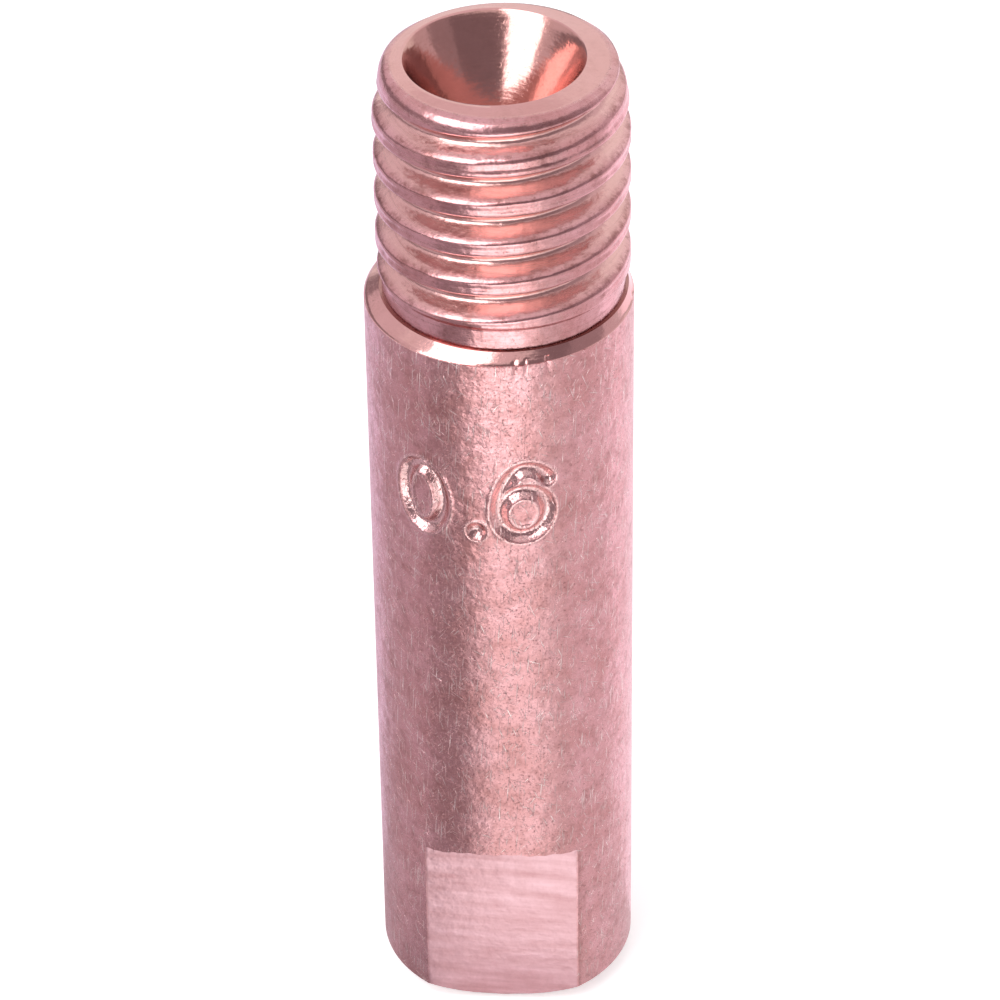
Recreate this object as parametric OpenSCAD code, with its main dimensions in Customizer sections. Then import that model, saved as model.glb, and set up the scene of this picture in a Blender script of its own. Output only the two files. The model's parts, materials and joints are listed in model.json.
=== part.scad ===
// Contact tip for a MIG/MAG welding torch: one turned copper piece that
// guides the welding wire and carries the current into it.
// The tip stands on its front end, where the wire comes out. The origin is
// the centre of that end face and +Z runs along the wire to the thread.

/* [Body] */
// Length over all, from the front end to the thread's end
tip_length = 25; // [16:0.5:40]
// Diameter of the round body
body_d = 6; // [5.9:0.1:10]
// Diameter of the flat part of the front end, inside its rounded edge
front_face_d = 3; // [2:0.1:5.4]
// Height of the rounded edge at the front end
front_edge_h = 0.45; // [0.1:0.05:0.8]

/* [Spanner flats] */
// Distance across the two flats
flats_across = 4.8; // [3.6:0.1:5.8]
// Length of the flats from the front end
flats_length = 4.75; // [2:0.25:8]
// Slope of the ledge where each flat ends, up to the body's surface, in degrees
ledge_slope = 25; // [0:5:45]

/* [Wire path] */
// Diameter of the welding wire
wire_d = 0.6; // [0.6:0.1:1.6]
// How much wider the bore is than the wire
wire_clearance = 0.2; // [0.1:0.05:0.5]
// Included angle of the entry cone, in degrees
entry_cone_angle = 60; // [40:5:90]
// Width of the flat rim round the entry cone's mouth
rim_w = 0.27; // [0.1:0.01:0.5]

/* [Threaded stud] */
// Length of the stud, from the shoulder's edge to the thread's end
stud_length = 6; // [4:0.25:9]
// Height of the bevelled shoulder, along the axis
shoulder_h = 0.28; // [0.1:0.02:0.6]
// Length of plain neck left between the shoulder and the thread
neck_length = 0.45; // [0.2:0.05:1]
// Width of the narrow relief turned into the shoulder round the neck
relief_w = 0.07; // [0.04:0.01:0.15]
// Depth of the relief, along the axis
relief_depth = 0.16; // [0.05:0.01:0.25]
// How much wider the neck is than the thread's pitch diameter
neck_over = 0.05; // [0:0.01:0.2]
// Nominal diameter of the thread
thread_d = 6; // [5:0.5:8]
// Pitch of the thread
thread_pitch = 1; // [0.75:0.25:1.25]
// How far the rolled crests fall short of the nominal diameter
crest_short = 0.37; // [0.05:0.01:0.4]
// Length over which the crests taper towards the thread's end
lead_length = 1.4; // [0.8:0.1:2]
// How far the crests have tapered in, on the radius, where the end bevel starts
lead_taper = 0.16; // [0.05:0.01:0.3]
// Bevel at the thread's end, at 45 degrees
lead_bevel = 0.42; // [0.2:0.02:0.6]
// Turn from the first flat at which the groove leaves the end face, in degrees
thread_clocking = 227; // [0:1:359]

/* [Hidden] */
$fn = 96;

// ISO metric thread form: 60 degree flanks and a rounded root
flank_angle = 30;
thread_h = thread_pitch * sqrt(3) / 2;
pitch_line_r = thread_d / 2 - thread_h * 3 / 8;
root_r = thread_d / 2 - thread_h * 17 / 24;
root_round_r = thread_h / 6;
crest_r = (thread_d - crest_short) / 2;

body_r = body_d / 2;
neck_r = pitch_line_r + neck_over / 2;
front_face_r = front_face_d / 2;
front_edge_w = body_r - front_face_r;
front_edge_r = (pow(front_edge_w, 2) + pow(front_edge_h, 2)) / (2 * front_edge_h);
bore_r = (wire_d + wire_clearance) / 2;
rim_r = crest_r - lead_taper - lead_bevel;
cone_r = rim_r - rim_w;
cone_depth = (cone_r - bore_r) / tan(entry_cone_angle / 2);
shoulder_z = tip_length - stud_length;
thread_z = shoulder_z + shoulder_h + neck_length;

// The groove is swept a little proud of the crests, from where the thread
// starts, fading in over half a turn, to a whole turn above the end face
groove_over = 0.08;
groove_out_r = crest_r + groove_over;
groove_steps = 36;
root_arc_steps = 4;
fade_steps = groove_steps / 2;
groove_turns = (tip_length - thread_z) / thread_pitch + 1;
groove_last = ceil(groove_turns * groove_steps);

// Half the groove's width along the axis at radius r
function flank_half_width(r) = thread_pitch / 4 + (r - pitch_line_r) * tan(flank_angle);

// Groove section as [radius, height from the groove's middle], lower lip to upper lip
groove_section = concat(
    [[groove_out_r, -flank_half_width(groove_out_r)]],
    [for (i = [0 : root_arc_steps])
        let (a = (90 - flank_angle) * (2 * i / root_arc_steps - 1))
        [root_r + root_round_r * (1 - cos(a)), root_round_r * sin(a)]],
    [[groove_out_r, flank_half_width(groove_out_r)]]
);

// Height of the groove's middle at step k, and its turn about the axis there
function groove_z(k) = thread_z + k * thread_pitch / groove_steps;
function groove_turn(k) = thread_clocking - 90 + 360 * (groove_z(k) - tip_length) / thread_pitch;

// How far the groove stands off its full depth at step k
function groove_fade(k) = max(0, 1 - k / fade_steps) * (groove_out_r - root_r);

// The helical groove as one solid, to be taken off the blank
module groove() {
    size = len(groove_section);
    points = [for (k = [0 : groove_last], p = groove_section)
        let (r = p[0] + groove_fade(k), a = groove_turn(k))
        [r * cos(a), r * sin(a), groove_z(k) + p[1]]];
    sides = [for (k = [0 : groove_last - 1], i = [0 : size - 1])
        let (j = (i + 1) % size, low = k * size, high = low + size)
        each [[low + i, high + i, low + j], [low + j, high + i, high + j]]];
    first_cap = [for (i = [0 : size - 1]) i];
    last_cap = [for (i = [size - 1 : -1 : 0]) groove_last * size + i];
    polyhedron(points, concat(sides, [first_cap, last_cap]), convexity = 10);
}

// Half section of the turned blank, with the bore and the entry cone: radius across, axis up
module blank_section() {
    difference() {
        polygon([
            [bore_r, 0],
            [body_r, 0],
            [body_r, shoulder_z],
            [neck_r, shoulder_z + shoulder_h],
            [neck_r, thread_z],
            [crest_r, thread_z + (crest_r - neck_r)],
            [crest_r, tip_length - lead_length],
            [crest_r - lead_taper, tip_length - lead_bevel],
            [rim_r, tip_length],
            [cone_r, tip_length],
            [bore_r, tip_length - cone_depth]
        ]);
        front_corner();
        translate([neck_r, shoulder_z + shoulder_h - relief_depth])
            square([relief_w, relief_depth]);
    }
}

// What the rounding takes off the section's corner at the front end: its arc
// leaves the flat face smoothly and meets the body at front_edge_h
module front_corner() {
    difference() {
        translate([front_face_r, -front_edge_h])
            square([2 * front_edge_w, 2 * front_edge_h]);
        translate([front_face_r, front_edge_r])
            circle(front_edge_r);
    }
}

// What the milling cutter takes off beside the first flat, which faces -Y
module flat_cut() {
    flat_y = -flats_across / 2;
    reach = body_r;
    translate([-body_r, 0, 0])
        rotate([90, 0, 90])
            linear_extrude(body_d)
                polygon([
                    [flat_y, -reach],
                    [flat_y, flats_length],
                    [flat_y - reach, flats_length + reach * tan(ledge_slope)],
                    [flat_y - reach, -reach]
                ]);
}

// The finished tip: turned, milled on two sides and threaded
module contact_tip() {
    color("#d69a98")
        difference() {
            rotate_extrude() blank_section();
            for (turn = [0, 180]) rotate(turn) flat_cut();
            groove();
        }
}

contact_tip();
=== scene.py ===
import json
import math

import bmesh
import bpy
from mathutils import Matrix, Vector


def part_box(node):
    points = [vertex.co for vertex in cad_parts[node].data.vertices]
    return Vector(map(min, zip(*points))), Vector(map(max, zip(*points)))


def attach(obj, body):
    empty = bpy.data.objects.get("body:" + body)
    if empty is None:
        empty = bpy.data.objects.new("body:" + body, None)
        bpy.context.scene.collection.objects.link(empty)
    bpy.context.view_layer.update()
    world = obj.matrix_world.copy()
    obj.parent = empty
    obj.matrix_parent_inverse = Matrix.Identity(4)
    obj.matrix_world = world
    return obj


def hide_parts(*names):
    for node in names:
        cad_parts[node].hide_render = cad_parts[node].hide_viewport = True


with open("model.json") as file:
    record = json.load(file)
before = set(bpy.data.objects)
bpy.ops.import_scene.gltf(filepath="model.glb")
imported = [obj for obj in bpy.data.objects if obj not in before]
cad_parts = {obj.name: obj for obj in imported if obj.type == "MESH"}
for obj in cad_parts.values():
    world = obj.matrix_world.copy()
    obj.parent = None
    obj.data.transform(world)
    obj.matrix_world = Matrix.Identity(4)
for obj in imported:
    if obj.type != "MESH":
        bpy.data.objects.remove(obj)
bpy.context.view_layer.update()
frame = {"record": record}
scene = bpy.context.scene
scene.view_settings.view_transform = "Standard"

# The turned blank: one length of drawn copper rod, 6 mm thick. A lathe faces its
# front end, turns down the stud, drills the wire bore and countersinks it, and a
# cutter then mills two flats for the spanner.
mm = 0.001
low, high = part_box("contact_tip")
tip_length = high.z - low.z
body_r = high.x
mounts = {mount["name"]: mount for mount in frame["record"]["mounts"]}
bore_r = mounts["wire_bore"]["dims"]["r_mm"] * mm
flats_half = mounts["spanner_flat_back"]["pos_m"][1]

front_face_r = 1.5 * mm
front_edge_h = 0.45 * mm
flats_length = 4.75 * mm
ledge_slope = math.radians(25)
ledge_min = 0.04 * mm
ledge_settles = 6.2 * mm
ledge_rag = 0.03 * mm
# Painted shadow: the width and strength of a darker strip along the right edge of the front flat
flat_edge_shade_w = 0.16 * mm
flat_edge_shade = 0.7
shoulder_z = tip_length - 6 * mm
shoulder_h = 0.28 * mm
shoulder_round = 0.04 * mm
neck_r = 2.70 * mm
relief_w = 0.07 * mm
relief_depth = 0.11 * mm
thread_z = shoulder_z + 0.73 * mm
crest_r = 2.815 * mm
lead_length = 1.4 * mm
lead_taper = 0.16 * mm
lead_bevel = 0.42 * mm
lead_fullness = 1.8
lead_ease = 1.3
rim_r = 2.42 * mm
rim_fall = 0.08 * mm
cone_r = 1.965 * mm
cone_lip = 0.03 * mm
cone_half_angle = math.radians(30)
cone_depth = (cone_r - bore_r) / math.tan(cone_half_angle)

# On this tip the stud was turned a little off the body's centre, and the cone was drilled nearer to it
stud_shift = 0.11 * mm
cone_shift = -0.03 * mm

# The columns stand close together on the front, with one on each edge of the flats
flat_edge_turn = math.acos(flats_half / body_r)
fine_turn = math.radians(62)
column_stops = [0, flat_edge_turn, fine_turn, math.pi - flat_edge_turn, math.pi]
column_counts = [47, 32, 42, 20]
half_turns = [0.0]
for start, end, count in zip(column_stops, column_stops[1:], column_counts):
    half_turns += [start + (end - start) * (i + 1) / count for i in range(count)]
turns = [-t for t in half_turns[-2:0:-1]] + half_turns


def stud_radius(height):
    """Radius of the blank under the thread, from the neck to its rounded end."""
    depth = tip_length - height
    if depth < lead_bevel:
        rise = (1 - (depth - rim_fall) / (lead_bevel - rim_fall)) ** lead_fullness
        return rim_r + (crest_r - lead_taper - rim_r) * (1 - rise) ** (1 / lead_fullness)
    if depth < lead_length:
        return crest_r - lead_taper * ((lead_length - depth) / (lead_length - lead_bevel)) ** lead_ease
    return min(crest_r, neck_r + max(0, height - thread_z))


# Each row is a radius, a height and how far its centre is off the body's axis
rows = []


def turned(start, end, count, shift=0.0):
    """Adds rows from one corner of the section up to, but not including, the next."""
    for i in range(count):
        part = i / count
        rows.append((start[0] + (end[0] - start[0]) * part, start[1] + (end[1] - start[1]) * part, shift))


front_edge_w = body_r - front_face_r
front_edge_r = (front_edge_w**2 + front_edge_h**2) / (2 * front_edge_h)
front_edge_arc = math.asin(front_edge_w / front_edge_r)
front_edge_rows = 14
nick_length = 0.42 * mm
mark_low = 13.85 * mm
mark_high = 16.75 * mm
thread_rows_low = thread_z - 0.12 * mm

turned((bore_r, 0), (front_face_r, 0), 6)
for i in range(front_edge_rows):
    lean = front_edge_arc * i / front_edge_rows
    rows.append((front_face_r + front_edge_r * math.sin(lean), front_edge_r * (1 - math.cos(lean)), 0.0))
turned((body_r, front_edge_h), (body_r, flats_length), 12)
turned((body_r, flats_length), (body_r, flats_length + ledge_min), 4)
turned((body_r, flats_length + ledge_min), (body_r, ledge_settles), 7)
turned((body_r, ledge_settles), (body_r, mark_low), 9)
turned((body_r, mark_low), (body_r, mark_high), 68)
turned((body_r, mark_high), (body_r, shoulder_z - nick_length), 4)
turned((body_r, shoulder_z - nick_length), (body_r, shoulder_z - shoulder_round), 6)
bevel_low = (body_r - shoulder_round, shoulder_z + shoulder_round / 2)
turned((body_r, shoulder_z - shoulder_round), bevel_low, 3)
bevel_rows = 6
relief_lip_z = shoulder_z + shoulder_h * (body_r - neck_r - relief_w) / (body_r - neck_r)
relief_z = shoulder_z + shoulder_h - relief_depth
turned(bevel_low, (neck_r + relief_w, relief_lip_z), bevel_rows)
for i in range(bevel_rows):
    radius, height, _ = rows[i - bevel_rows]
    rows[i - bevel_rows] = (radius, height, stud_shift * i / bevel_rows)
turned((neck_r + relief_w, relief_lip_z), (neck_r + relief_w, relief_z), 3, stud_shift)
turned((neck_r + relief_w, relief_z), (neck_r, relief_z), 2, stud_shift)
turned((neck_r, relief_z), (neck_r, thread_rows_low), 6, stud_shift)
thread_rows = 146
for i in range(thread_rows):
    height = thread_rows_low + (tip_length - lead_bevel - thread_rows_low) * i / thread_rows
    rows.append((stud_radius(height), height, stud_shift))
lead_rows = 14
for i in range(lead_rows):
    height = tip_length - rim_fall - (lead_bevel - rim_fall) * math.cos(i / lead_rows * math.pi / 2)
    rows.append((stud_radius(height), height, stud_shift))
rim_rows = 5
turned((rim_r, tip_length - rim_fall), (cone_r + cone_lip, tip_length), rim_rows)
for i in range(rim_rows):
    radius, height, _ = rows[i - rim_rows]
    rows[i - rim_rows] = (radius, height, stud_shift + (cone_shift - stud_shift) * i / rim_rows)
cone_z = tip_length - cone_depth
turned((cone_r + cone_lip, tip_length), (cone_r, tip_length - cone_lip), 2, cone_shift)
turned((cone_r, tip_length - cone_lip), (bore_r, cone_z), 18, cone_shift)
turned((bore_r, cone_z), (bore_r, 0), 8)


def foot_turn(turn, radius, height):
    """Moves the columns so that the flats' edges stay on a column where the front end rounds in."""
    if height > front_edge_h or radius >= body_r:
        return turn
    least = math.radians(6)
    if radius > flats_half:
        edge = max(least, math.acos(flats_half / radius))
    else:
        edge = least + (flat_edge_turn - least) * (flats_half - radius) / (flats_half - bore_r)
    fold = math.asin(min(1, abs(math.sin(turn))))
    if fold <= flat_edge_turn:
        moved = fold * edge / flat_edge_turn
    else:
        quarter = math.pi / 2
        moved = edge + (fold - flat_edge_turn) * (quarter - edge) / (quarter - flat_edge_turn)
    return turn + (moved - fold) * math.copysign(1, math.sin(turn) * math.cos(turn))


def milled(radius, height, turn):
    """Radius and height of a point of the section once the flats are milled."""
    square = abs(math.cos(turn))
    reach = radius * square
    if reach <= flats_half or height >= ledge_settles:
        return radius, height
    ledge_top = flats_length + ledge_min
    # The cutter tears the ledge's edge a little, in three waves round the body
    rag = math.sin(5 * turn + 1.9) + 0.5 * math.sin(17 * turn) + 0.4 * math.sin(47 * turn + 0.4)
    rise = max(ledge_min, (reach - flats_half) * math.tan(ledge_slope) + ledge_rag * rag)
    if height <= flats_length:
        return flats_half / square, height
    if height <= ledge_top:
        part = (height - flats_length) / ledge_min
        out = flats_half + (reach - flats_half) * part
        return out / square, flats_length + rise * part
    part = (ledge_settles - height) / (ledge_settles - ledge_top)
    return radius, height + (rise - ledge_min) * part


# Knocks on the shoulder's edge: place round the body, half width and depth, all in mm
knocks = [(0.5, 0.07, 0.05), (0.74, 0.05, 0.03), (1.24, 0.09, 0.06), (4.6, 0.1, 0.05), (-6.1, 0.08, 0.05)]


def knocked(radius, height, turn):
    """Radius of a point of the section once the shoulder's edge has been knocked."""
    if abs(height - shoulder_z) > nick_length or radius < body_r - 2 * shoulder_round:
        return radius
    fade = 1 - abs(height - shoulder_z) / nick_length
    for place, half_width, depth in knocks:
        gap = abs(turn * body_r / mm - place) / half_width
        radius -= max(0, 1 - gap) * depth * mm * fade
    return radius


# The points, with what the thread and the copper need to know about each
points = []
shifts = []
on_flat = []
faced = []
on_stud = []
painted_shade = []
in_cone = []
for radius, height, shift in rows:
    is_stud = height > relief_lip_z and shift == stud_shift
    is_edge = height <= front_edge_h and radius > front_face_r
    is_wall = radius == body_r or is_stud or is_edge
    for column in turns:
        turn = foot_turn(column, radius, height)
        r, z = milled(knocked(radius, height, turn), height, turn)
        points.append((r * math.sin(turn), -r * math.cos(turn), z))
        shifts.append(shift)
        on_flat.append(float(height <= flats_length and radius * abs(math.cos(turn)) > flats_half))
        faced.append(0.0 if is_wall else 1.0)
        on_stud.append(float(is_stud))
        in_cone.append(float(shift == cone_shift and radius <= cone_r))
        # Painted shade: full in the relief groove at the stud's foot, and fading across a strip beside the
        # front flat's right edge
        beside_flat = (turn - flat_edge_turn) * body_r / flat_edge_shade_w
        shade_here = 0.0
        if shift == stud_shift and height < relief_lip_z:
            shade_here = 1.0
        elif is_wall and height <= flats_length and 0 < beside_flat < 1:
            shade_here = flat_edge_shade * (1 - beside_flat)
        painted_shade.append(shade_here)
column_count = len(turns)
row_count = len(rows)
faces = []
for i in range(row_count):
    above = (i + 1) % row_count
    for j in range(column_count):
        right = (j + 1) % column_count
        faces.append((i * column_count + j, i * column_count + right,
                      above * column_count + right, above * column_count + j))
mesh = bpy.data.meshes.new("contact_tip_blank")
mesh.from_pydata(points, [], faces)
for name, values in {"off_centre": shifts, "milled_flat": on_flat, "turned_face": faced,
                     "rolled_stud": on_stud, "relief_and_flat_edge_shade": painted_shade, "drilled_cone": in_cone}.items():
    mesh.attributes.new(name, "FLOAT", "POINT").data.foreach_set("value", values)

# The surface unrolled in millimetres: round the body, and along the section
along = [0.0]
for before, after in zip(rows, rows[1:] + rows[:1]):
    along.append(along[-1] + math.hypot(after[0] - before[0], after[1] - before[1]) / mm)
unrolled = mesh.uv_layers.new(name="unrolled")
corners = []
for i in range(row_count):
    for j in range(column_count):
        left = turns[j] * body_r / mm
        right = (turns[j + 1] if j + 1 < column_count else turns[0] + 2 * math.pi) * body_r / mm
        corners += [left, along[i], right, along[i], right, along[i + 1], left, along[i + 1]]
unrolled.uv.foreach_set("vector", corners)
tip = bpy.data.objects.new("copper_contact_tip", mesh)
scene.collection.objects.link(tip)


# The thread: M6, right-hand, rolled into the stud. The roller pushes copper up on
# both sides of its groove, and the two lips don't quite meet on the crests.
def add(tree, kind, inputs=None, **settings):
    """Adds a node to a tree with its settings, and sets its inputs or links them to other nodes."""
    node = tree.nodes.new(kind)
    for name, value in settings.items():
        setattr(node, name, value)
    for key, value in (inputs or {}).items():
        if isinstance(value, bpy.types.Node):
            value = next(output for output in value.outputs if output.enabled)
        if isinstance(value, bpy.types.NodeSocket):
            tree.links.new(value, node.inputs[key])
        else:
            node.inputs[key].default_value = value
    return node


MATH = "ShaderNodeMath"
thread_pitch = 1.0 * mm
thread_depth_h = thread_pitch * math.sqrt(3) / 2
nominal_r = mounts["thread"]["dims"]["r_mm"] * mm
thread_sizes = {
    "Pitch": thread_pitch,
    "Pitch line radius": nominal_r - thread_depth_h * 3 / 8,
    "Root radius": nominal_r - thread_depth_h * 17 / 24,
    "Flank slope": math.tan(math.radians(30)),
    "Root round": 0.22 * mm,
    "Lip round": 0.16 * mm,
    "Seam depth": 0.015 * mm,
    "Seam half width": 0.1 * mm,
    "Crest wear": 0.035 * mm,
    "Wear patch": 0.8 * mm,
    "Thread start": thread_z,
    "Run-out length": 0.5 * thread_pitch,
    "Run-out rise": 0.5 * mm,
    "Thread end": tip_length,
    "Groove turn at the end": math.radians(227),
}

rolling = bpy.data.node_groups.new("rolled thread", "GeometryNodeTree")
rolling.interface.new_socket("Blank", in_out="INPUT", socket_type="NodeSocketGeometry")
thread_sockets = {
    name: rolling.interface.new_socket(name, in_out="INPUT", socket_type="NodeSocketFloat")
    for name in thread_sizes
}
rolled_metal = rolling.interface.new_socket("Metal", in_out="INPUT", socket_type="NodeSocketMaterial")
rolling.interface.new_socket("Threaded", in_out="OUTPUT", socket_type="NodeSocketGeometry")
size = add(rolling, "NodeGroupInput").outputs
place = add(rolling, "ShaderNodeSeparateXYZ", {0: add(rolling, "GeometryNodeInputPosition")}).outputs
ahead = add(rolling, MATH, {0: place["Y"], 1: -1.0}, operation="MULTIPLY")
blank_turn = add(rolling, MATH, {0: place["X"], 1: ahead}, operation="ARCTAN2")
across = add(rolling, "ShaderNodeCombineXYZ", {"X": place["X"], "Y": place["Y"]})
blank_r = add(rolling, "ShaderNodeVectorMath", {0: across}, operation="LENGTH")

# Distance along the axis from the middle of the nearest groove
below_end = add(rolling, MATH, {0: place["Z"], 1: size["Thread end"]}, operation="SUBTRACT")
pitches = add(rolling, MATH, {0: below_end, 1: size["Pitch"]}, operation="DIVIDE")
turn_left = add(rolling, MATH, {0: size["Groove turn at the end"], 1: blank_turn}, operation="SUBTRACT")
phase = add(rolling, MATH, {0: turn_left, 1: 1 / math.tau, 2: pitches}, operation="MULTIPLY_ADD")
off_groove = add(rolling, MATH, {0: phase, 1: 0.5, 2: -0.5}, operation="WRAP")
groove_off = add(rolling, MATH, {0: off_groove, 1: size["Pitch"]}, operation="MULTIPLY")
groove_gap = add(rolling, MATH, {0: groove_off}, operation="ABSOLUTE")

# The groove: straight flanks that run into a rounded root, and fade out at the neck
quarter_pitch = add(rolling, MATH, {0: size["Pitch"], 1: 0.25}, operation="MULTIPLY")
past_pitch_line = add(rolling, MATH, {0: groove_gap, 1: quarter_pitch}, operation="SUBTRACT")
flank_rise = add(rolling, MATH, {0: past_pitch_line, 1: size["Flank slope"]}, operation="DIVIDE")
flank_r = add(rolling, MATH, {0: flank_rise, 1: size["Pitch line radius"]}, operation="ADD")
groove_r = add(rolling, MATH, {0: flank_r, 1: size["Root radius"], 2: size["Root round"]},
               operation="SMOOTH_MAX")
groove_z = add(rolling, MATH, {0: place["Z"], 1: groove_off}, operation="SUBTRACT")
past_start = add(rolling, MATH, {0: groove_z, 1: size["Thread start"]}, operation="SUBTRACT")
cut_share = add(rolling, MATH, {0: past_start, 1: size["Run-out length"]}, operation="DIVIDE")
uncut_share = add(rolling, MATH, {0: 1.0, 1: cut_share}, operation="SUBTRACT")
uncut = add(rolling, MATH, {0: uncut_share, 1: 0.0}, operation="MAXIMUM")
faded_r = add(rolling, MATH, {0: uncut, 1: size["Run-out rise"], 2: groove_r}, operation="MULTIPLY_ADD")

# The crest: a shallow seam between two lips, and uneven wear
half_pitch = add(rolling, MATH, {0: size["Pitch"], 1: 0.5}, operation="MULTIPLY")
crest_gap = add(rolling, MATH, {0: half_pitch, 1: groove_gap}, operation="SUBTRACT")
seam_share = add(rolling, "ShaderNodeMapRange",
                 {0: crest_gap, 1: 0.0, 2: size["Seam half width"], 3: 1.0, 4: 0.0},
                 interpolation_type="SMOOTHSTEP")
started = add(rolling, "ShaderNodeMapRange", {0: cut_share, 1: 0.0, 2: 1.0, 3: 0.0, 4: 1.0})
seam_here = add(rolling, MATH, {0: seam_share.outputs[0], 1: started.outputs[0]}, operation="MULTIPLY")
outside = add(rolling, MATH, {0: blank_r, 1: size["Pitch line radius"]}, operation="GREATER_THAN")
seam_outside = add(rolling, MATH, {0: seam_here, 1: outside}, operation="MULTIPLY")
seam = add(rolling, MATH, {0: seam_outside, 1: size["Seam depth"]}, operation="MULTIPLY")
patches = add(rolling, MATH, {0: 1.0, 1: size["Wear patch"]}, operation="DIVIDE")
wear_noise = add(rolling, "ShaderNodeTexNoise", {"Scale": patches, "Detail": 2.0})
wear_share = add(rolling, "ShaderNodeMapRange", {0: wear_noise, 1: 0.5, 2: 1.0, 3: 0.0, 4: 1.0})
wear_outside = add(rolling, MATH, {0: wear_share, 1: outside}, operation="MULTIPLY")
wear_here = add(rolling, MATH, {0: wear_outside, 1: started}, operation="MULTIPLY")
worn = add(rolling, MATH, {0: wear_here, 1: size["Crest wear"], 2: seam}, operation="MULTIPLY_ADD")
crest_now = add(rolling, MATH, {0: blank_r, 1: worn}, operation="SUBTRACT")
rolled_r = add(rolling, MATH, {0: crest_now, 1: faded_r, 2: size["Lip round"]}, operation="SMOOTH_MIN")
pushed_in = add(rolling, MATH, {0: blank_r, 1: rolled_r}, operation="SUBTRACT")
shrink = add(rolling, MATH, {0: rolled_r, 1: blank_r}, operation="DIVIDE")
shrunk = add(rolling, "ShaderNodeVectorMath", {0: across, "Scale": shrink}, operation="SCALE")
rolled_place = add(rolling, "ShaderNodeSeparateXYZ", {0: shrunk}).outputs
threaded = add(rolling, "ShaderNodeCombineXYZ",
               {"X": rolled_place["X"], "Y": rolled_place["Y"], "Z": place["Z"]})
groove_depth = add(rolling, MATH, {0: pushed_in, 1: 1 / mm}, operation="MULTIPLY")
kept = add(rolling, "GeometryNodeStoreNamedAttribute",
           {"Geometry": size["Blank"], "Name": "groove_depth", "Value": groove_depth},
           data_type="FLOAT", domain="POINT")
formed = add(rolling, "GeometryNodeSetPosition", {"Geometry": kept, "Position": threaded})
off_centre = add(rolling, "GeometryNodeInputNamedAttribute", {"Name": "off_centre"}, data_type="FLOAT")
aside = add(rolling, "ShaderNodeCombineXYZ", {"X": off_centre})
moved_over = add(rolling, "GeometryNodeSetPosition", {"Geometry": formed, "Offset": aside})
rolled = add(rolling, "GeometryNodeRealizeInstances", {"Geometry": moved_over})
skinned = add(rolling, "GeometryNodeSetMaterial", {"Geometry": rolled, "Material": size["Metal"]})
add(rolling, "NodeGroupOutput", {"Threaded": skinned})

roller = tip.modifiers.new("rolled thread", "NODES")
roller.node_group = rolling
for name, value in thread_sizes.items():
    roller[thread_sockets[name].identifier] = value

# The size mark: the plain number 0.6, the wire's thickness in millimetres. It is
# struck into the body with a hand stamp, which throws up a burr round each stroke.
# Places round the body and the strokes' own sizes are in millimetres
mark_turn_mm = {"nought": -1.72, "point": -0.42, "six": 0.66}
nought_z = 15.16 * mm
nought_half = (0.5, 0.8)
nought_lean = -0.04
six_z = 14.98 * mm
six_bowl = (0.56, 0.61)
six_top = 1.2
six_top_right = 0.62
six_end_drop = 0.8
six_hook_right = 0.05
six_hook_sweep = 145
point_z = 14.5 * mm
point_r = 0.04

strokes = []
stroke_steps = 40


def struck(centre, z, flat_points, closed):
    """Wraps a flat stroke, in millimetres about its centre, round the body and adds it to the mark."""
    wrapped = []
    for aside_mm, up_mm in flat_points:
        turn = (centre + aside_mm) * mm / body_r
        wrapped.append(Vector((body_r * math.sin(turn), -body_r * math.cos(turn), z + up_mm * mm)))
    strokes.append((wrapped, closed))


nought = []
dot = []
bowl = []
for i in range(stroke_steps):
    right = math.cos(math.tau * i / stroke_steps)
    up = math.sin(math.tau * i / stroke_steps)
    nought.append((nought_half[0] * right + nought_lean * up, nought_half[1] * up))
    dot.append((point_r * right, point_r * up))
    bowl.append((six_bowl[0] * right, six_bowl[1] * up))
hook = []
for i in range(stroke_steps + 1):
    sweep = math.radians(180 - six_hook_sweep * i / stroke_steps)
    rising = sweep > math.pi / 2
    up = six_top * math.sin(sweep) if rising else six_top - six_end_drop * (1 - math.sin(sweep))
    hook.append((six_top_right * math.cos(sweep) + six_hook_right, up))
struck(mark_turn_mm["nought"], nought_z, nought, True)
struck(mark_turn_mm["point"], point_z, dot, True)
struck(mark_turn_mm["six"], six_z, bowl, True)
struck(mark_turn_mm["six"], six_z, hook, False)

stroke_points = []
stroke_edges = []
for line_points, closed in strokes:
    first = len(stroke_points)
    stroke_points += line_points
    stroke_edges += [(first + i, first + i + 1) for i in range(len(line_points) - 1)]
    if closed:
        stroke_edges.append((len(stroke_points) - 1, first))
stamp_mesh = bpy.data.meshes.new("stamp_strokes")
stamp_mesh.from_pydata(stroke_points, stroke_edges, [])
stamp = bpy.data.objects.new("stamp_strokes", stamp_mesh)

mark_sizes = {"Reach": 0.36 * mm, "Depth": 0.15 * mm}
marking = bpy.data.node_groups.new("struck mark", "GeometryNodeTree")
marking.interface.new_socket("Body", in_out="INPUT", socket_type="NodeSocketGeometry")
stamp_socket = marking.interface.new_socket("Stamp", in_out="INPUT", socket_type="NodeSocketObject")
mark_sockets = {
    name: marking.interface.new_socket(name, in_out="INPUT", socket_type="NodeSocketFloat")
    for name in mark_sizes
}
metal_socket = marking.interface.new_socket("Metal", in_out="INPUT", socket_type="NodeSocketMaterial")
marking.interface.new_socket("Marked", in_out="OUTPUT", socket_type="NodeSocketGeometry")
size = add(marking, "NodeGroupInput").outputs
die = add(marking, "GeometryNodeObjectInfo", {"Object": size["Stamp"]})
nearest = add(marking, "GeometryNodeProximity", {0: die.outputs["Geometry"]}, target_element="EDGES")
reached = add(marking, MATH, {0: nearest.outputs["Distance"], 1: size["Reach"]}, operation="DIVIDE")
section = add(marking, "ShaderNodeFloatCurve", {"Value": reached})
curve = section.mapping.curves[0]
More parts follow.
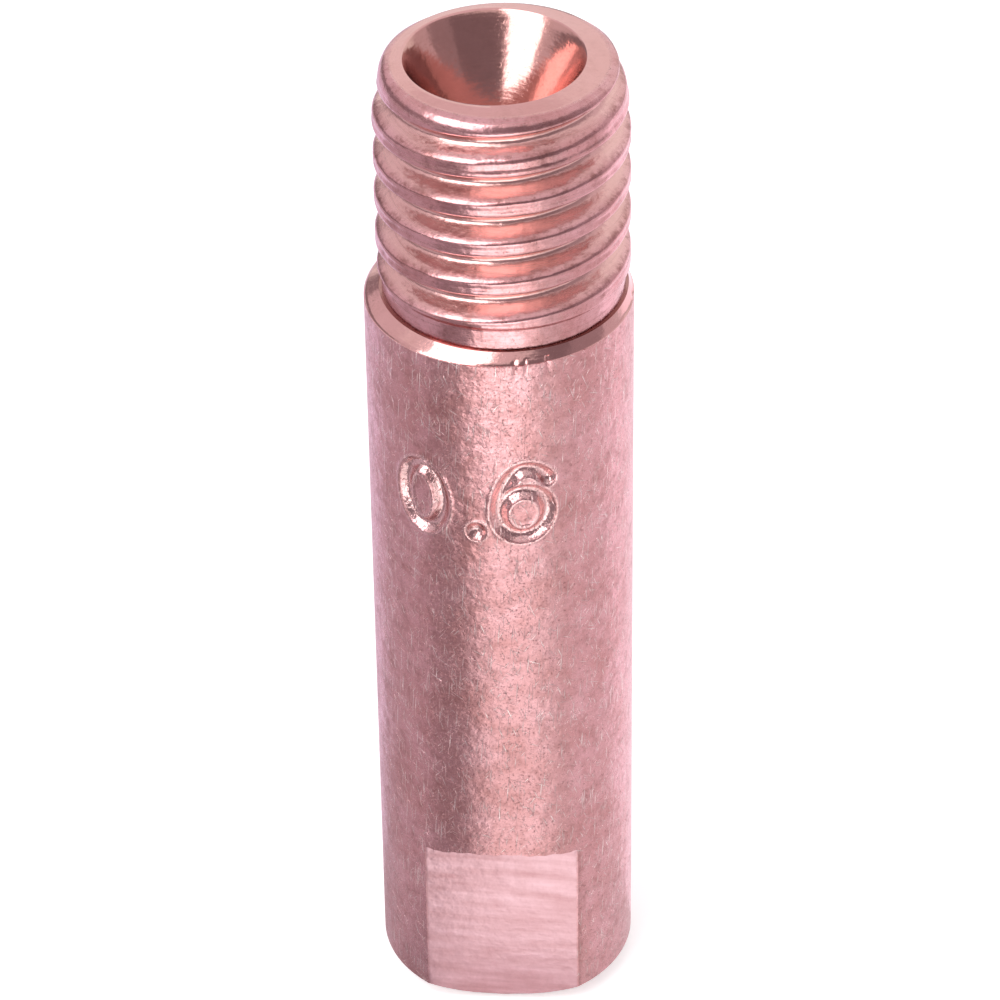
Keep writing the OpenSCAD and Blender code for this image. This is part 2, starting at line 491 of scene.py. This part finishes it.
# The stroke's section, as shares of the reach and heights: from its bottom, over the burr, to the body
stroke_low = 0.2
body_level = 0.6
section_points = [(0.0, stroke_low), (0.12, 0.22), (0.52, body_level),
                  (0.62, 0.68), (0.78, 0.62), (1.0, body_level)]
curve.points[0].location = section_points[0]
curve.points[1].location = section_points[-1]
for point in section_points[1:-1]:
    curve.points.new(*point)
section.mapping.update()
height_share = add(marking, MATH, {0: section, 1: body_level}, operation="SUBTRACT")
lift = add(marking, MATH, {0: height_share, 1: size["Depth"]}, operation="MULTIPLY")
lift_full = add(marking, MATH, {0: lift, 1: 1 / (body_level - stroke_low)}, operation="MULTIPLY")
out = add(marking, "ShaderNodeVectorMath",
          {0: add(marking, "GeometryNodeInputPosition"), 1: (1.0, 1.0, 0.0)}, operation="MULTIPLY")
outward = add(marking, "ShaderNodeVectorMath", {0: out}, operation="NORMALIZE")
push = add(marking, "ShaderNodeVectorMath", {0: outward, "Scale": lift_full}, operation="SCALE")
near_mark = add(marking, MATH, {0: reached, 1: 1.0}, operation="LESS_THAN")
marked = add(marking, "GeometryNodeSetPosition",
             {"Geometry": size["Body"], "Selection": near_mark, "Offset": push})
lift_here = add(marking, MATH, {0: lift_full, 1: near_mark}, operation="MULTIPLY")
mark_height = add(marking, MATH, {0: lift_here, 1: 1 / mm}, operation="MULTIPLY")
mark_kept = add(marking, "GeometryNodeStoreNamedAttribute",
                {"Geometry": marked, "Name": "mark_height", "Value": mark_height},
                data_type="FLOAT", domain="POINT")
whole = add(marking, "GeometryNodeRealizeInstances", {"Geometry": mark_kept})
coated = add(marking, "GeometryNodeSetMaterial", {"Geometry": whole, "Material": size["Metal"]})
add(marking, "NodeGroupOutput", {"Marked": coated})


# The copper itself: bare drawn and turned copper, pink and half matt, with drawing
# lines along the body, handling scratches, dull stains and a cleaner rolled thread.
def linear(hex_colour):
    """Linear RGBA of an sRGB hex colour."""
    parts = [int(hex_colour[i:i + 2], 16) / 255 for i in (0, 2, 4)]
    return (*[c / 12.92 if c <= 0.04045 else ((c + 0.055) / 1.055) ** 2.4 for c in parts], 1.0)


copper = bpy.data.materials.new("bare_copper_drawn_and_turned")
copper.use_nodes = True
tree = copper.node_tree
shader = tree.nodes["Principled BSDF"]
shader.inputs["Metallic"].default_value = 1.0
NOISE = "ShaderNodeTexNoise"
RANGE = "ShaderNodeMapRange"
MIX = "ShaderNodeMix"
MAPPING = "ShaderNodeMapping"
texture_place = add(tree, "ShaderNodeTexCoord").outputs
in_mm = add(tree, "ShaderNodeVectorMath", {0: texture_place["Object"], "Scale": 1 / mm}, operation="SCALE")
round_mm = add(tree, "ShaderNodeUVMap", uv_map="unrolled")

# Where the tools left another surface: milled flats, faced and countersunk ends, rolled grooves
flat_mask = add(tree, "ShaderNodeAttribute", attribute_name="milled_flat").outputs["Fac"]
face_mask = add(tree, "ShaderNodeAttribute", attribute_name="turned_face").outputs["Fac"]
stud_mask = add(tree, "ShaderNodeAttribute", attribute_name="rolled_stud").outputs["Fac"]
groove = add(tree, "ShaderNodeAttribute", attribute_name="groove_depth").outputs["Fac"]
in_groove = add(tree, RANGE, {0: groove, 1: 0.03, 2: 0.2, 3: 0.0, 4: 1.0})

# Cloudy pink, from a thin uneven tarnish
cloud_size = 1.4
cloud = add(tree, NOISE, {"Vector": in_mm, "Scale": 1 / cloud_size, "Detail": 5.0, "Roughness": 0.65})
tone = add(tree, RANGE, {0: cloud, 1: 0.35, 2: 0.65, 3: 0.0, 4: 1.0})
pinks = add(tree, MIX, {0: tone, 6: linear("D19897"), 7: linear("E4AFB2")}, data_type="RGBA")

# Dull brown stains, a few tenths of a millimetre across
stain_size = 0.4
stain = add(tree, NOISE, {"Vector": in_mm, "Scale": 1 / stain_size, "Detail": 6.0, "Roughness": 0.8})
stained = add(tree, RANGE, {0: stain, 1: 0.48, 2: 0.72, 3: 0.0, 4: 0.7})
dulled = add(tree, MIX, {0: stained, 6: pinks.outputs[2], 7: linear("A06C68")}, data_type="RGBA")

# Pits and specks, drawn about 0.05 mm wide so that they show
speck_size = 0.06
speck = add(tree, NOISE, {"Vector": in_mm, "Scale": 1 / speck_size, "Detail": 2.0, "Roughness": 0.6})
pits = add(tree, RANGE, {0: speck, 1: 0.62, 2: 0.72, 3: 0.0, 4: 1.0})
pit_share = add(tree, MATH, {0: pits, 1: 0.5}, operation="MULTIPLY")
specked = add(tree, MIX, {0: pit_share, 6: dulled.outputs[2], 7: linear("8C5A56")}, data_type="RGBA")

# Scratches from drawing and handling: width and length in mm, lean in degrees, and how rare they are
scratch_sets = [
    (0.03, 0.9, 4, 0.66),
    (0.03, 0.5, -21, 0.67),
    (0.025, 0.35, 38, 0.68),
    (0.03, 0.6, -63, 0.7),
]
scratches = None
for width, length, lean, rarity in scratch_sets:
    turned_place = add(tree, MAPPING, {"Vector": round_mm, "Rotation": (0, 0, math.radians(lean))})
    stretched = add(tree, MAPPING, {"Vector": turned_place, "Scale": (1 / width, 1 / length, 1.0)})
    lines = add(tree, NOISE, {"Vector": stretched, "Scale": 1.0, "Detail": 1.0})
    cuts = add(tree, RANGE, {0: lines, 1: rarity, 2: rarity + 0.06, 3: 0.0, 4: 1.0})
    scratches = cuts if scratches is None else add(tree, MATH, {0: scratches, 1: cuts}, operation="MAXIMUM")
unhandled = add(tree, MATH, {0: stud_mask, 1: face_mask}, operation="MAXIMUM")
handled = add(tree, MATH, {0: unhandled, 1: -0.85, 2: 1.0}, operation="MULTIPLY_ADD")
scratches = add(tree, MATH, {0: scratches, 1: handled}, operation="MULTIPLY")
# Painted glint: the scratches are tinted near white, as if each caught the light
scratch_glint_share = add(tree, MATH, {0: scratches, 1: 0.8}, operation="MULTIPLY")
glint_painted_colour = add(tree, MIX, {0: scratch_glint_share, 6: specked.outputs[2], 7: linear("FFECE8")}, data_type="RGBA")

# Cutter lines across the flats, leaning a little, and lathe lines round the ends
cutter_line = 0.3
cutter_place = add(tree, MAPPING, {"Vector": in_mm, "Rotation": (0, math.radians(-4), 0)})
cutter_stretch = add(tree, MAPPING, {"Vector": cutter_place, "Scale": (0.4, 0.4, 1 / cutter_line)})
cutter = add(tree, NOISE, {"Vector": cutter_stretch, "Scale": 1.0, "Detail": 3.0, "Roughness": 0.55})
lathe_line = 0.05
lathe_stretch = add(tree, MAPPING, {"Vector": round_mm, "Scale": (0.25, 1 / lathe_line, 1.0)})
lathe = add(tree, NOISE, {"Vector": lathe_stretch, "Scale": 1.0, "Detail": 2.0})
blotched = add(tree, MATH, {0: stain, 1: -0.5, 2: cutter}, operation="MULTIPLY_ADD")
cutter_tone = add(tree, RANGE, {0: blotched, 1: 0.02, 2: 0.46, 3: 0.0, 4: 1.0})
milled_pink = add(tree, MIX, {0: cutter_tone, 6: linear("CF9EA1"), 7: linear("EEC4CA")}, data_type="RGBA")
flat_colour = add(tree, MIX, {0: flat_mask, 6: glint_painted_colour.outputs[2], 7: milled_pink.outputs[2]},
                  data_type="RGBA")
cleaner = add(tree, MATH, {0: in_groove, 1: face_mask}, operation="MAXIMUM")
clean_share = add(tree, MATH, {0: cleaner, 1: 0.75}, operation="MULTIPLY")
mark = add(tree, "ShaderNodeAttribute", attribute_name="mark_height").outputs["Fac"]
mark_size = add(tree, MATH, {0: mark}, operation="ABSOLUTE")
fresh = add(tree, RANGE, {0: mark_size, 1: 0.005, 2: 0.03, 3: 0.0, 4: 1.0})
# The struck strokes are tinted lighter: partly the fresh copper's own colour, partly a painted highlight
# for the glints on their walls
struck_glint_share = add(tree, MATH, {0: fresh, 1: 0.55}, operation="MULTIPLY")
struck_glint_colour = add(tree, MIX, {0: struck_glint_share, 6: flat_colour.outputs[2], 7: linear("F2CDCA")},
                    data_type="RGBA")
clean_pink = add(tree, MIX, {0: face_mask, 6: linear("EEC0B9"), 7: linear("E2AFA9")}, data_type="RGBA")
cone_mask = add(tree, "ShaderNodeAttribute", attribute_name="drilled_cone").outputs["Fac"]
cone_pink = add(tree, MIX, {0: cone_mask, 6: clean_pink.outputs[2], 7: linear("D1A197")}, data_type="RGBA")
cleaned = add(tree, MIX, {0: clean_share, 6: struck_glint_colour.outputs[2], 7: cone_pink.outputs[2]},
              data_type="RGBA")
lathe_dirt = add(tree, RANGE, {0: lathe, 1: 0.55, 2: 0.75, 3: 0.0, 4: 0.25})
streak_share = add(tree, MATH, {0: lathe_dirt, 1: stud_mask}, operation="MULTIPLY")
lip_low = add(tree, RANGE, {0: groove, 1: 0.01, 2: 0.05, 3: 0.0, 4: 1.0})
lip_high = add(tree, RANGE, {0: groove, 1: 0.06, 2: 0.16, 3: 1.0, 4: 0.0})
lip_stain = add(tree, RANGE, {0: stain, 1: 0.48, 2: 0.62, 3: 0.0, 4: 0.6})
lip = add(tree, MATH, {0: lip_low, 1: lip_high}, operation="MULTIPLY")
lip_dirt = add(tree, MATH, {0: lip, 1: lip_stain}, operation="MULTIPLY")
stud_dirt = add(tree, MATH, {0: streak_share, 1: lip_dirt}, operation="MAXIMUM")
streaked = add(tree, MIX, {0: stud_dirt, 6: cleaned.outputs[2], 7: linear("8F5E5A")}, data_type="RGBA")
# Painted shade: darker brown in the relief groove and in the strip beside the front flat's right edge
painted_shade_mask = add(tree, "ShaderNodeAttribute", attribute_name="relief_and_flat_edge_shade").outputs["Fac"]
painted_shade_share = add(tree, MATH, {0: painted_shade_mask, 1: 0.65}, operation="MULTIPLY")
colour = add(tree, MIX, {0: painted_shade_share, 6: streaked.outputs[2], 7: linear("94645F")}, data_type="RGBA")
tree.links.new(colour.outputs[2], shader.inputs["Base Color"])

# Half matt where it is drawn and handled, smoother where it is rolled or turned
milled_rough = 0.42
body_rough = add(tree, RANGE, {0: speck, 1: 0.3, 2: 0.7, 3: 0.23, 4: 0.37})
dull_rough = add(tree, MATH, {0: stained, 1: 0.15, 2: body_rough}, operation="MULTIPLY_ADD")
burnished = add(tree, MATH, {0: cleaner, 1: stud_mask}, operation="MAXIMUM")
smooth = add(tree, MATH, {0: burnished, 1: fresh}, operation="MAXIMUM")
finest = add(tree, RANGE, {0: stud_mask, 1: 0.0, 2: 1.0, 3: 0.11, 4: 0.18})
coarsest = add(tree, RANGE, {0: stud_mask, 1: 0.0, 2: 1.0, 3: 0.19, 4: 0.3})
lathe_rough = add(tree, RANGE, {0: lathe, 1: 0.3, 2: 0.7, 3: finest, 4: coarsest})
smooth_rough = add(tree, MIX, {0: smooth, 2: dull_rough, 3: lathe_rough}, data_type="FLOAT")
rough = add(tree, MIX, {0: flat_mask, 2: smooth_rough, 3: milled_rough}, data_type="FLOAT")
tree.links.new(rough.outputs[0], shader.inputs["Roughness"])

# Relief in millimetres: scratches, pits, cutter and lathe lines, and shallow dents
scratch_relief = add(tree, MATH, {0: scratches, 1: -0.013}, operation="MULTIPLY")
pit_relief = add(tree, MATH, {0: pits, 1: -0.012, 2: scratch_relief}, operation="MULTIPLY_ADD")
speck_relief = add(tree, MATH, {0: speck, 1: 0.007, 2: pit_relief}, operation="MULTIPLY_ADD")
calm = add(tree, MATH, {0: burnished, 1: -0.92, 2: 1.0}, operation="MULTIPLY_ADD")
body_relief = add(tree, MATH, {0: speck_relief, 1: calm}, operation="MULTIPLY")
cutter_relief = add(tree, MATH, {0: cutter, 1: 0.016}, operation="MULTIPLY")
cut_relief = add(tree, MIX, {0: flat_mask, 2: body_relief, 3: cutter_relief}, data_type="FLOAT")
lathe_share = add(tree, MATH, {0: lathe, 1: burnished}, operation="MULTIPLY")
lathe_relief = add(tree, MATH, {0: lathe_share, 1: 0.001, 2: cut_relief}, operation="MULTIPLY_ADD")
dent_size = 0.25
dent = add(tree, NOISE, {"Vector": in_mm, "Scale": 1 / dent_size, "Detail": 2.0})
stud_dent = add(tree, RANGE, {0: stud_mask, 1: 0.0, 2: 1.0, 3: 0.03, 4: 0.014})
dent_depth = add(tree, MATH, {0: face_mask, 1: -0.024, 2: stud_dent}, operation="MULTIPLY_ADD")
relief = add(tree, MATH, {0: dent, 1: dent_depth, 2: lathe_relief}, operation="MULTIPLY_ADD")
bump = add(tree, "ShaderNodeBump", {"Strength": 1.0, "Distance": mm, "Height": relief})
tree.links.new(bump.outputs[0], shader.inputs["Normal"])

striker = tip.modifiers.new("struck mark", "NODES")
striker.node_group = marking
striker[stamp_socket.identifier] = stamp
striker[metal_socket.identifier] = copper
roller[rolled_metal.identifier] = copper
for name, value in mark_sizes.items():
    striker[mark_sockets[name].identifier] = value

formed_mesh = bpy.data.meshes.new_from_object(tip.evaluated_get(bpy.context.evaluated_depsgraph_get()))
tip.modifiers.clear()
tip.data = formed_mesh
bpy.data.objects.remove(stamp)

# Corners that the tools left sharp, all below the thread, keep their edge
sharp_angle = math.radians(28)
shape = bmesh.new()
shape.from_mesh(formed_mesh)
for face in shape.faces:
    face.smooth = True
for edge in shape.edges:
    middle = (edge.verts[0].co + edge.verts[1].co) / 2
    unthreaded = middle.z < thread_rows_low or math.hypot(middle.x, middle.y) < cone_r + cone_lip
    off_mark = not mark_low < middle.z < mark_high
    edge.smooth = not (unthreaded and off_mark and edge.calc_face_angle(0) > sharp_angle)
shape.to_mesh(formed_mesh)
shape.free()

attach(tip, "root")
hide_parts("contact_tip")

# The floor: a sheet of white paper, which keeps the tip's soft shadow. It glows a
# little for the camera alone, so that it shows as white as the photograph's.
floor_mesh = bpy.data.meshes.new("floor")
floor_half = 1.2
floor_mesh.from_pydata([(-floor_half, -floor_half, 0), (floor_half, -floor_half, 0),
                        (floor_half, floor_half, 0), (-floor_half, floor_half, 0)], [], [(0, 1, 2, 3)])
paper = bpy.data.materials.new("white_paper")
paper.use_nodes = True
tree = paper.node_tree
sheet = tree.nodes["Principled BSDF"]
sheet.inputs["Base Color"].default_value = linear("F4F2F4")
sheet.inputs["Roughness"].default_value = 0.9
sheet.inputs["Specular IOR Level"].default_value = 0.0
path = add(tree, "ShaderNodeLightPath").outputs
paper_lift = add(tree, MATH, {0: path["Is Camera Ray"], 1: 0.5}, operation="MULTIPLY")
sheet.inputs["Emission Color"].default_value = (1, 1, 1, 1)
tree.links.new(paper_lift.outputs[0], sheet.inputs["Emission Strength"])
floor = bpy.data.objects.new("floor", floor_mesh)
floor_mesh.materials.append(paper)
scene.collection.objects.link(floor)

# The light: a white room and one soft box, above on the left. Grey and white cards
# stand round the tip, and their reflections draw the bands along the copper.
world = bpy.data.worlds.new("studio")
world.use_nodes = True
scene.world = world
tree = world.node_tree
path = add(tree, "ShaderNodeLightPath").outputs
seen = add(tree, MATH, {0: path["Is Camera Ray"], 1: path["Is Glossy Ray"]}, operation="MAXIMUM")
seen_or_through = add(tree, MATH, {0: seen, 1: path["Is Transmission Ray"]}, operation="MAXIMUM")
room_light = 0.7
level = add(tree, RANGE, {0: seen_or_through, 1: 0.0, 2: 1.0, 3: room_light, 4: 1.0})
background = tree.nodes["Background"]
background.inputs["Color"].default_value = (1, 1, 1, 1)
tree.links.new(level.outputs[0], background.inputs["Strength"])

soft_box_azimuth = math.radians(-42)
soft_box_elevation = math.radians(41)
soft_box_distance = 0.16
lit_middle = Vector((0, 0, tip_length * 0.6))
soft_lamp = bpy.data.lights.new("soft_box", "AREA")
soft_lamp.shape = "RECTANGLE"
soft_lamp.size = 0.12
soft_lamp.size_y = 0.13
soft_lamp.energy = 0.14
soft_box = bpy.data.objects.new("soft_box", soft_lamp)
outwards = math.cos(soft_box_elevation)
side = Vector((math.sin(soft_box_azimuth) * outwards, -math.cos(soft_box_azimuth) * outwards,
               math.sin(soft_box_elevation)))
soft_box.location = lit_middle + side * soft_box_distance
soft_box.rotation_euler = side.to_track_quat("Z", "Y").to_euler()
soft_box.visible_camera = False
scene.collection.objects.link(soft_box)


def card(name, near, far, start, end, bottom, top, hex_colour, strength):
    """Sets up a card that only reflections see: part of a ring round the tip, lying or standing."""
    steps = 24
    inner = []
    outer = []
    for i in range(steps + 1):
        azimuth = math.radians(start + (end - start) * i / steps)
        inner.append((near * math.sin(azimuth), -near * math.cos(azimuth), bottom))
        outer.append((far * math.sin(azimuth), -far * math.cos(azimuth), top))
    board = bpy.data.meshes.new(name)
    board.from_pydata(inner + outer, [], [(i, i + 1, steps + 2 + i, steps + 1 + i) for i in range(steps)])
    paint = bpy.data.materials.new(name)
    paint.use_nodes = True
    glow = paint.node_tree.nodes["Principled BSDF"]
    glow.inputs["Base Color"].default_value = (0, 0, 0, 1)
    glow.inputs["Specular IOR Level"].default_value = 0.0
    glow.inputs["Emission Color"].default_value = linear(hex_colour)
    glow.inputs["Emission Strength"].default_value = strength
    board.materials.append(paint)
    stood = bpy.data.objects.new(name, board)
    stood.visible_camera = False
    stood.visible_diffuse = False
    stood.visible_shadow = False
    scene.collection.objects.link(stood)


# Each card's inner and outer radius in metres, the azimuths between which it lies in degrees from the
# first flat, the heights of its two edges, its colour and its strength
floor_gap = 0.02 * mm
foot_r = 0.0031
card_end = 0.15
screen_r = 0.25
screen_low = 0.002
screen_mid = 0.09
screen_top = 0.25
ceiling_z = 0.22
card("dark_card", 0.0065, card_end, -58, -20, floor_gap, floor_gap, "9C9197", 1.0)
card("low_card", foot_r, 0.0065, -70, -30, floor_gap, floor_gap, "ABA0A8", 1.0)
card("grey_card", foot_r, card_end, -120, -58, floor_gap, floor_gap, "CCC0CA", 1.0)
card("white_card", 0.0044, card_end, -12, 36, floor_gap, floor_gap, "FFFFFF", 1.36)
card("side_card", foot_r, card_end, 56, 105, floor_gap, floor_gap, "F4EAF0", 1.0)
card("right_back_card", foot_r, card_end, 105, 178, floor_gap, floor_gap, "FFF4FF", 1.35)
card("left_back_card", foot_r, card_end, -178, -120, floor_gap, floor_gap, "F0E4FA", 1.15)
card("far_card", 0.0292, 0.16, -24, 20, 2 * floor_gap, 2 * floor_gap, "FFFFFF", 2.4)
card("ceiling", 0.0, 0.2, -180, 180, ceiling_z, ceiling_z, "EFE6EA", 1.0)
card("dark_screen", screen_r, screen_r, -12, 62, screen_low, screen_top, "8C8187", 1.0)
card("grey_screen", screen_r, screen_r, 62, 94, screen_low, screen_top, "A99DA3", 1.0)
card("right_screen", screen_r, screen_r, 94, 120, screen_low, screen_top, "DDD2D8", 1.0)
card("left_screen", screen_r, screen_r, -150, -12, screen_low, screen_mid, "978B91", 1.0)
card("left_high_screen", screen_r, screen_r, -150, -12, screen_mid, screen_top, "E8DEE4", 1.0)

# The camera: the photograph's place, above the front and a little to the right of
# the first flat. Its lens, place and turn were fitted to the tip's own outline.
photo_px = 1000
lens_px = 4816.5
camera_back = 88.57 * mm
camera_up = 78.71 * mm
camera_azimuth = 0.0569
camera_tilt = 0.637
camera_pan = 0.0005
camera_roll = -0.0149
camera = bpy.data.cameras.new("camera")
camera.sensor_width = 36
camera.lens = lens_px * camera.sensor_width / photo_px
camera.clip_start = 0.01
eye = bpy.data.objects.new("camera", camera)
stand = Matrix.Rotation(camera_azimuth, 4, "Z") @ Vector((0, -camera_back, camera_up))
aim = (Matrix.Rotation(camera_azimuth + camera_pan, 4, "Z")
       @ Matrix.Rotation(math.pi / 2 - camera_tilt, 4, "X")
       @ Matrix.Rotation(camera_roll, 4, "Z"))
eye.matrix_world = Matrix.Translation(stand) @ aim
scene.collection.objects.link(eye)
scene.camera = eye
